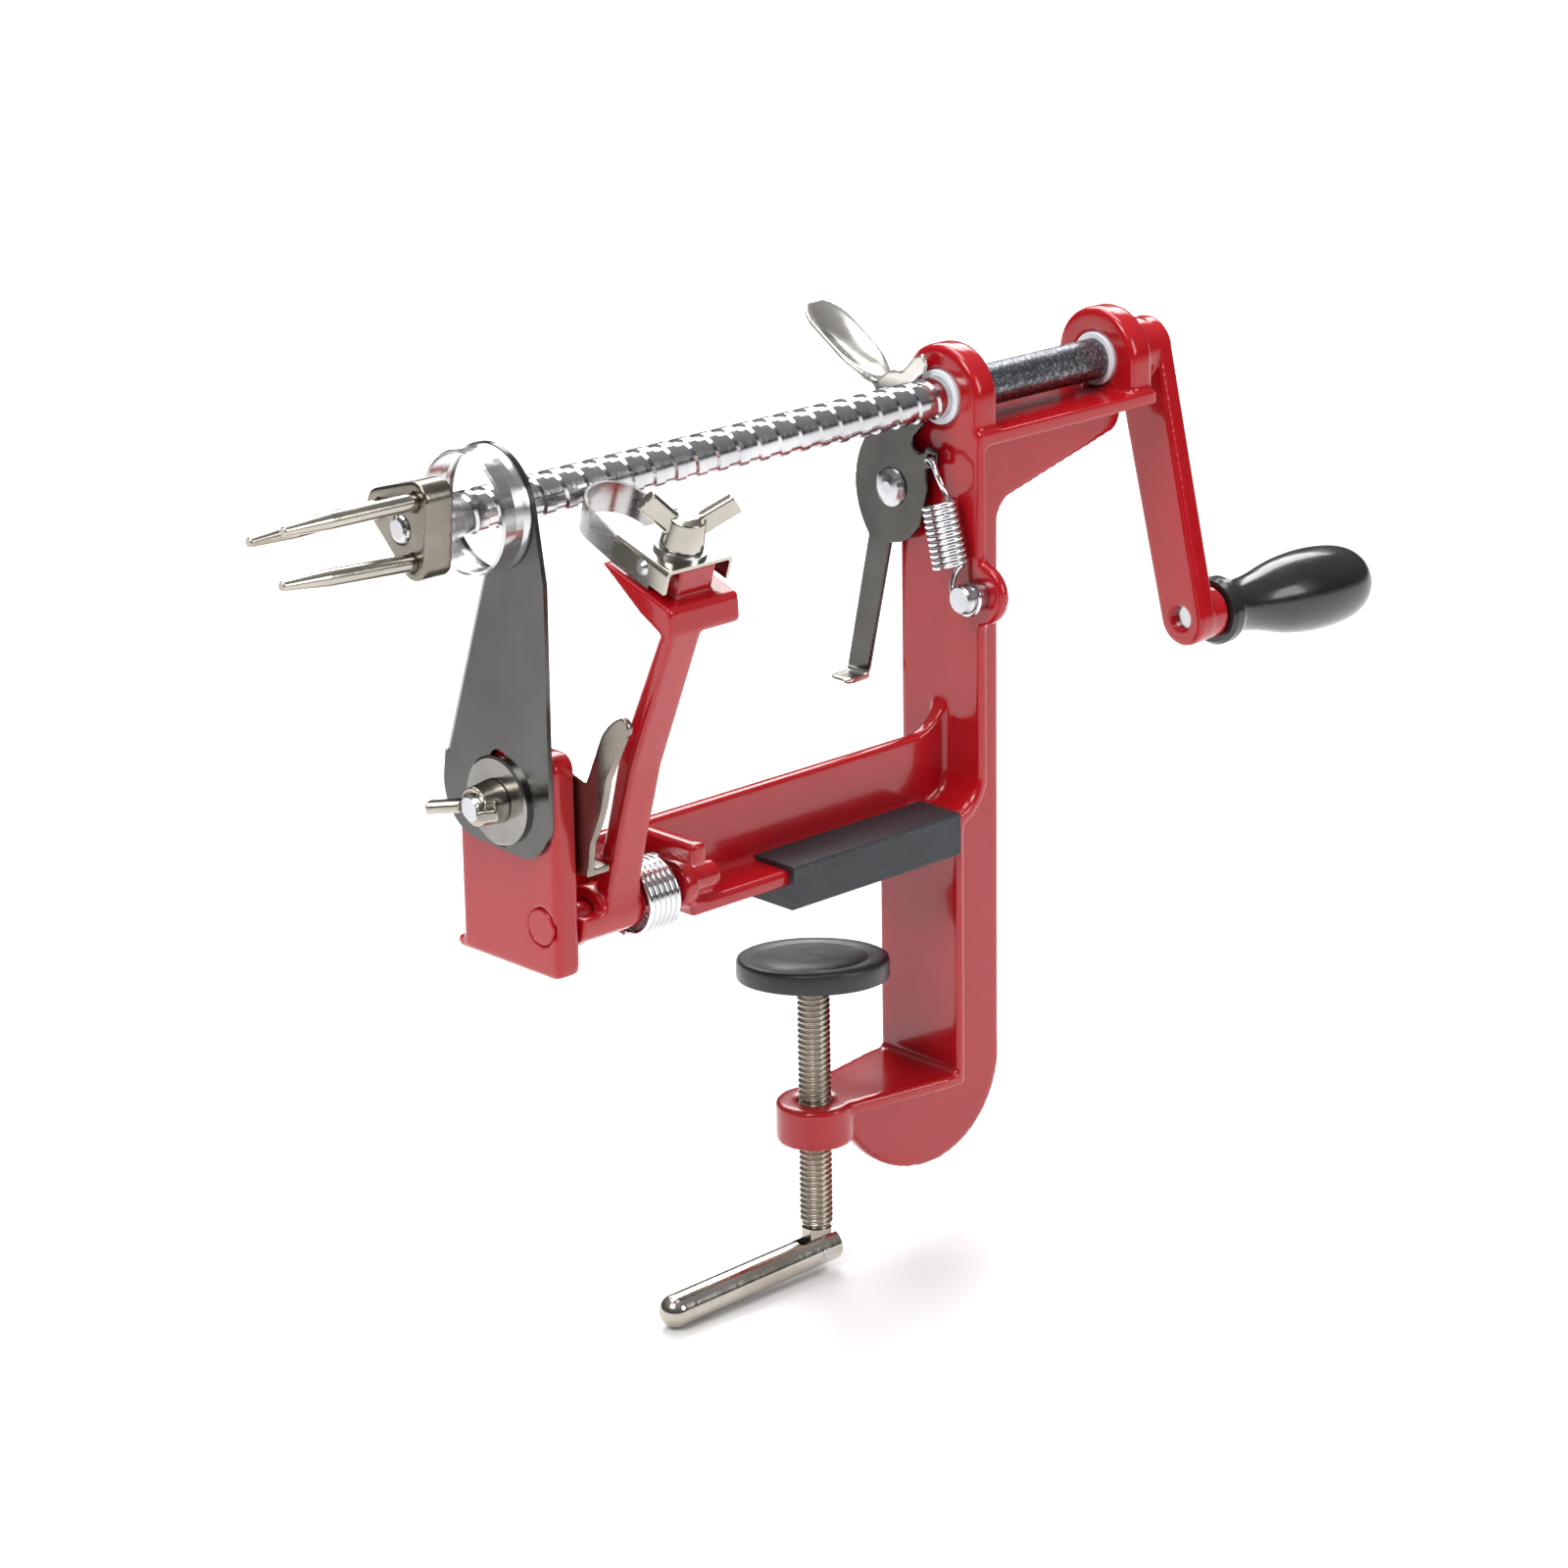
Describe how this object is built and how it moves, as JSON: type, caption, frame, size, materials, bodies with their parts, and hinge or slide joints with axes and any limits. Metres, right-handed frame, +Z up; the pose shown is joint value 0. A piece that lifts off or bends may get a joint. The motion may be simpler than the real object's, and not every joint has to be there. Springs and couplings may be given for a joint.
{
  "type": "apple peeler corer",
  "caption": "Hand-cranked apple peeler and corer: a feed screw with a fork turns the apple past a sprung peeling arm and a coring ring, on a red casting with a table clamp.",
  "frame": {"origin": "where the clamp screw's axis meets the underside of the rubber table pads", "axes": "+X along the feed screw from the fork to the crank, +Z up away from the table, +Y to the side away from the peeling arm"},
  "size_m": [0.33, 0.084, 0.225],
  "materials": {
    "red_paint": "gloss enamel over cast aluminium",
    "rubber": "moulded black rubber, satin",
    "nylon": "bluish white nylon",
    "screw_steel": "plated rolled screw, dull bright",
    "nickel": "nickel plate, slightly warm",
    "stainless": "polished stainless sheet",
    "zinc": "bright zinc plate",
    "spring_wire": "bright plated spring wire",
    "grip_plastic": "glossy black plastic",
    "foot_plastic": "satin black plastic"
  },
  "bodies": {
    "stand": {"frame_casting": "red_paint", "table_pad_outer": "rubber", "table_pad_inner": "rubber", "corer_stud": "zinc", "corer_washer": "zinc", "pivot_pin": "zinc", "arm_spring": "spring_wire", "lever_rivet": "zinc", "spring_pin": "zinc", "lever_spring": "spring_wire"},
    "bushes": {"front_bush": "nylon", "rear_bush": "nylon"},
    "screw": {"feed_screw": "screw_steel", "fork_block": "nickel", "fork_tine_1": "nickel", "fork_tine_2": "nickel", "fork_tine_3": "nickel", "crank_arm": "red_paint", "crank_screw": "zinc", "handle_bolt": "zinc"},
    "grip": {"handle_grip": "grip_plastic"},
    "lever": {"catch_lever": "nickel"},
    "arm": {"peeler_arm": "red_paint"},
    "holder": {"blade_holder": "nickel", "peeling_blade": "stainless", "blade_rivets": "zinc", "blade_washer": "zinc"},
    "wing_screw": {"blade_wing_screw": "nickel"},
    "corer": {"corer_blade": "stainless"},
    "corer_nut": {"corer_wing_nut": "nickel"},
    "catch": {"arm_catch": "nickel"},
    "swivel": {"foot_rivet": "zinc"},
    "foot": {"clamp_foot": "foot_plastic"},
    "clamp": {"clamp_screw": "zinc", "tommy_pin": "zinc"},
    "tommy": {"tommy_bar": "zinc"}
  },
  "joints": [
    {"name": "crank_turn", "type": "hinge", "parent": "stand", "child": "bushes", "pos_m": [0.05, 0, 0.1075], "axis": [1, 0, 0], "range_deg": [0, 1800]},
    {"name": "screw_feed", "type": "slide", "parent": "bushes", "child": "screw", "axis": [1, 0, 0], "range_m": [0, 0.03176]},
    {"name": "grip_spin", "type": "hinge", "parent": "screw", "child": "grip", "pos_m": [0.1162, -0.01601, 0.04234], "axis": [0.9986, 0, -0.0523], "continuous": true},
    {"name": "lever_release", "type": "hinge", "parent": "stand", "child": "lever", "pos_m": [0.0404, 0.0125, 0.0842], "axis": [-1, 0, 0], "range_deg": [0, 16], "stiffness_Nm_per_rad": 0.25, "springref_deg": -20.05, "deforming": ["lever_spring"]},
    {"name": "arm_swing", "type": "hinge", "parent": "stand", "child": "arm", "pos_m": [-0.0731, -0.011, 0.014], "axis": [1, 0, 0], "range_deg": [0, 38], "stiffness_Nm_per_rad": 0.12, "springref_deg": -51.57},
    {"name": "blade_swivel", "type": "hinge", "parent": "arm", "child": "holder", "pos_m": [-0.0684, -0.03294, 0.09944], "axis": [0, -0.309, 0.9511], "range_deg": [-6, 6]},
    {"name": "blade_screw_turn", "type": "hinge", "parent": "arm", "child": "wing_screw", "pos_m": [-0.0684, -0.03294, 0.09944], "axis": [0, -0.309, 0.9511], "range_deg": [0, 180]},
    {"name": "corer_slide", "type": "slide", "parent": "stand", "child": "corer", "axis": [0, 0, 1], "range_m": [-0.002, 0.002]},
    {"name": "corer_nut_turn", "type": "hinge", "parent": "stand", "child": "corer_nut", "pos_m": [-0.098, 0, 0.0413], "axis": [-1, 0, 0], "range_deg": [0, 180]},
    {"name": "catch_turn", "type": "hinge", "parent": "stand", "child": "catch", "pos_m": [-0.0846, 0, 0.0413], "axis": [1, 0, 0], "range_deg": [-15, 15]},
    {"name": "clamp_travel", "type": "slide", "parent": "stand", "child": "swivel", "axis": [0, 0, 1], "range_m": [-0.024, 0.0075]},
    {"name": "clamp_screw_turn", "type": "hinge", "parent": "swivel", "child": "clamp", "pos_m": [0, 0, -0.05], "axis": [0, 0, 1], "range_deg": [-6120, 1910]},
    {"name": "foot_tilt", "type": "hinge", "parent": "swivel", "child": "foot", "pos_m": [0, 0, -0.0236], "axis": [-0.7302, 0.6832, 0], "range_deg": [-11.6, 0]},
    {"name": "tommy_fold", "type": "hinge", "parent": "clamp", "child": "tommy", "pos_m": [0, 0, -0.0955], "axis": [0, 1, 0], "range_deg": [-175, 5]}
  ],
  "couplings": [
    {"joint": "screw_feed", "follows": "crank_turn", "m_per_rad": 0.0010106},
    {"joint": "clamp_travel", "follows": "clamp_screw_turn", "m_per_rad": 0.00022457}
  ]
}
